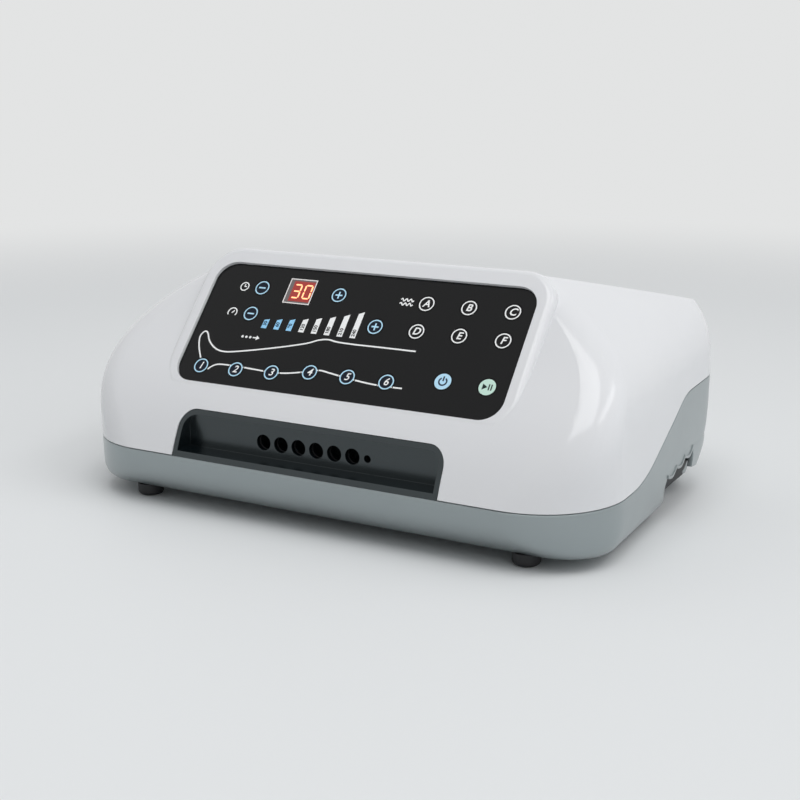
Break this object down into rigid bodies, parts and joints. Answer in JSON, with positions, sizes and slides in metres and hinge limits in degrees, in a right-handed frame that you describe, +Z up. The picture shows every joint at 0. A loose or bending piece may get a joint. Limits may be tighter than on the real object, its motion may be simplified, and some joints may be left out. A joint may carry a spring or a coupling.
{
  "type": "compression therapy pump",
  "caption": "Table-top air compression therapy pump with a sloping glossy key panel, a front recess with air outlets, and the pump, valves and fan inside.",
  "frame": {"origin": "on the table, under the middle of the housing", "axes": "+X to the right as seen from the front, +Y to the rear, +Z up; the control panel and the recess face -Y"},
  "size_m": [0.367, 0.252, 0.1571],
  "materials": {
    "shell_white": "glossy",
    "base_grey": "satin",
    "dark_plastic": "satin",
    "overlay_black": "glossy",
    "key_black": "glossy",
    "key_blue": "glossy",
    "key_mint": "glossy",
    "display_lens": "glossy",
    "display_grey": "matt",
    "inner_plastic": "matt",
    "board_green": "satin",
    "switch_black": "matt",
    "seal_rubber": "matt",
    "tube_silicone": "satin",
    "coil_varnish": "glossy",
    "steel": "brushed",
    "pump_metal": "satin",
    "laminated_core": "satin",
    "foot_rubber": "matt",
    "rocker_black": "glossy"
  },
  "bodies": {
    "housing": {"air_tubes": "tube_silicone", "board_screws": "steel", "display_module": "display_grey", "display_window": "display_lens", "fan_frame": "dark_plastic", "front_feet": "foot_rubber", "key_frame": "inner_plastic", "lower_shell": "base_grey", "mains_inlet": "dark_plastic", "outlet_manifold": "dark_plastic", "panel_board": "board_green", "panel_overlay": "overlay_black", "port_recess": "dark_plastic", "port_seals": "seal_rubber", "power_board": "board_green", "pressure_sensor": "switch_black", "pump_body": "pump_metal", "pump_coils": "coil_varnish", "pump_cover": "pump_metal", "pump_heads": "pump_metal", "pump_mounts": "seal_rubber", "rear_feet": "foot_rubber", "rocker_frame": "dark_plastic", "shell_screws": "steel", "side_vent_left": "dark_plastic", "side_vent_right": "dark_plastic", "supply_tubes": "tube_silicone", "tact_switches": "switch_black", "transformer": "laminated_core", "upper_shell": "shell_white", "valve_block": "inner_plastic", "valve_coils": "coil_varnish"},
    "key_mode_a_body": {"key_mode_a": "key_black"},
    "key_mode_b_body": {"key_mode_b": "key_black"},
    "key_mode_c_body": {"key_mode_c": "key_black"},
    "key_mode_d_body": {"key_mode_d": "key_black"},
    "key_mode_e_body": {"key_mode_e": "key_black"},
    "key_mode_f_body": {"key_mode_f": "key_black"},
    "key_play_pause_body": {"key_play_pause": "key_mint"},
    "key_power_body": {"key_power": "key_blue"},
    "key_pressure_minus_body": {"key_pressure_minus": "key_black"},
    "key_pressure_plus_body": {"key_pressure_plus": "key_black"},
    "key_time_minus_body": {"key_time_minus": "key_black"},
    "key_time_plus_body": {"key_time_plus": "key_black"},
    "key_zone_1_body": {"key_zone_1": "key_black"},
    "key_zone_2_body": {"key_zone_2": "key_black"},
    "key_zone_3_body": {"key_zone_3": "key_black"},
    "key_zone_4_body": {"key_zone_4": "key_black"},
    "key_zone_5_body": {"key_zone_5": "key_black"},
    "key_zone_6_body": {"key_zone_6": "key_black"},
    "valve_plunger_1_body": {"valve_plunger_1": "steel"},
    "valve_plunger_2_body": {"valve_plunger_2": "steel"},
    "valve_plunger_3_body": {"valve_plunger_3": "steel"},
    "valve_plunger_4_body": {"valve_plunger_4": "steel"},
    "valve_plunger_5_body": {"valve_plunger_5": "steel"},
    "valve_plunger_6_body": {"valve_plunger_6": "steel"},
    "pump_armature_body": {"pump_armature": "laminated_core"},
    "power_rocker_body": {"power_rocker": "rocker_black"},
    "fan_rotor_body": {"fan_rotor": "dark_plastic"}
  },
  "joints": [
    {"name": "key_mode_a_press", "type": "slide", "parent": "housing", "child": "key_mode_a_body", "axis": [0, 0.748, -0.6637], "range_m": [0, 0.0005], "stiffness_N_per_m": 800, "springref_m": -0.001},
    {"name": "key_mode_b_press", "type": "slide", "parent": "housing", "child": "key_mode_b_body", "axis": [0, 0.748, -0.6637], "range_m": [0, 0.0005], "stiffness_N_per_m": 800, "springref_m": -0.001},
    {"name": "key_mode_c_press", "type": "slide", "parent": "housing", "child": "key_mode_c_body", "axis": [0, 0.748, -0.6637], "range_m": [0, 0.0005], "stiffness_N_per_m": 800, "springref_m": -0.001},
    {"name": "key_mode_d_press", "type": "slide", "parent": "housing", "child": "key_mode_d_body", "axis": [0, 0.748, -0.6637], "range_m": [0, 0.0005], "stiffness_N_per_m": 800, "springref_m": -0.001},
    {"name": "key_mode_e_press", "type": "slide", "parent": "housing", "child": "key_mode_e_body", "axis": [0, 0.748, -0.6637], "range_m": [0, 0.0005], "stiffness_N_per_m": 800, "springref_m": -0.001},
    {"name": "key_mode_f_press", "type": "slide", "parent": "housing", "child": "key_mode_f_body", "axis": [0, 0.748, -0.6637], "range_m": [0, 0.0005], "stiffness_N_per_m": 800, "springref_m": -0.001},
    {"name": "key_play_pause_press", "type": "slide", "parent": "housing", "child": "key_play_pause_body", "axis": [0, 0.748, -0.6637], "range_m": [0, 0.0005], "stiffness_N_per_m": 800, "springref_m": -0.001},
    {"name": "key_power_press", "type": "slide", "parent": "housing", "child": "key_power_body", "axis": [0, 0.748, -0.6637], "range_m": [0, 0.0005], "stiffness_N_per_m": 800, "springref_m": -0.001},
    {"name": "key_pressure_minus_press", "type": "slide", "parent": "housing", "child": "key_pressure_minus_body", "axis": [0, 0.748, -0.6637], "range_m": [0, 0.0005], "stiffness_N_per_m": 800, "springref_m": -0.001},
    {"name": "key_pressure_plus_press", "type": "slide", "parent": "housing", "child": "key_pressure_plus_body", "axis": [0, 0.748, -0.6637], "range_m": [0, 0.0005], "stiffness_N_per_m": 800, "springref_m": -0.001},
    {"name": "key_time_minus_press", "type": "slide", "parent": "housing", "child": "key_time_minus_body", "axis": [0, 0.748, -0.6637], "range_m": [0, 0.0005], "stiffness_N_per_m": 800, "springref_m": -0.001},
    {"name": "key_time_plus_press", "type": "slide", "parent": "housing", "child": "key_time_plus_body", "axis": [0, 0.748, -0.6637], "range_m": [0, 0.0005], "stiffness_N_per_m": 800, "springref_m": -0.001},
    {"name": "key_zone_1_press", "type": "slide", "parent": "housing", "child": "key_zone_1_body", "axis": [0, 0.748, -0.6637], "range_m": [0, 0.0005], "stiffness_N_per_m": 800, "springref_m": -0.001},
    {"name": "key_zone_2_press", "type": "slide", "parent": "housing", "child": "key_zone_2_body", "axis": [0, 0.748, -0.6637], "range_m": [0, 0.0005], "stiffness_N_per_m": 800, "springref_m": -0.001},
    {"name": "key_zone_3_press", "type": "slide", "parent": "housing", "child": "key_zone_3_body", "axis": [0, 0.748, -0.6637], "range_m": [0, 0.0005], "stiffness_N_per_m": 800, "springref_m": -0.001},
    {"name": "key_zone_4_press", "type": "slide", "parent": "housing", "child": "key_zone_4_body", "axis": [0, 0.748, -0.6637], "range_m": [0, 0.0005], "stiffness_N_per_m": 800, "springref_m": -0.001},
    {"name": "key_zone_5_press", "type": "slide", "parent": "housing", "child": "key_zone_5_body", "axis": [0, 0.748, -0.6637], "range_m": [0, 0.0005], "stiffness_N_per_m": 800, "springref_m": -0.001},
    {"name": "key_zone_6_press", "type": "slide", "parent": "housing", "child": "key_zone_6_body", "axis": [0, 0.748, -0.6637], "range_m": [0, 0.0005], "stiffness_N_per_m": 800, "springref_m": -0.001},
    {"name": "valve_plunger_1_lift", "type": "slide", "parent": "housing", "child": "valve_plunger_1_body", "axis": [0, 0, 1], "range_m": [0, 0.001], "stiffness_N_per_m": 300, "springref_m": -0.001},
    {"name": "valve_plunger_2_lift", "type": "slide", "parent": "housing", "child": "valve_plunger_2_body", "axis": [0, 0, 1], "range_m": [0, 0.001], "stiffness_N_per_m": 300, "springref_m": -0.001},
    {"name": "valve_plunger_3_lift", "type": "slide", "parent": "housing", "child": "valve_plunger_3_body", "axis": [0, 0, 1], "range_m": [0, 0.001], "stiffness_N_per_m": 300, "springref_m": -0.001},
    {"name": "valve_plunger_4_lift", "type": "slide", "parent": "housing", "child": "valve_plunger_4_body", "axis": [0, 0, 1], "range_m": [0, 0.001], "stiffness_N_per_m": 300, "springref_m": -0.001},
    {"name": "valve_plunger_5_lift", "type": "slide", "parent": "housing", "child": "valve_plunger_5_body", "axis": [0, 0, 1], "range_m": [0, 0.001], "stiffness_N_per_m": 300, "springref_m": -0.001},
    {"name": "valve_plunger_6_lift", "type": "slide", "parent": "housing", "child": "valve_plunger_6_body", "axis": [0, 0, 1], "range_m": [0, 0.001], "stiffness_N_per_m": 300, "springref_m": -0.001},
    {"name": "pump_armature_stroke", "type": "slide", "parent": "housing", "child": "pump_armature_body", "axis": [1, 0, 0], "range_m": [-0.002, 0.002], "stiffness_N_per_m": 2000},
    {"name": "power_rocker_tilt", "type": "hinge", "parent": "housing", "child": "power_rocker_body", "pos_m": [0.052, 0.113, 0.044], "axis": [-1, 0, 0], "range_deg": [0, 14]},
    {"name": "fan_rotor_spin", "type": "hinge", "parent": "housing", "child": "fan_rotor_body", "pos_m": [-0.072, 0.109, 0.044], "axis": [0, 1, 0], "continuous": true}
  ]
}
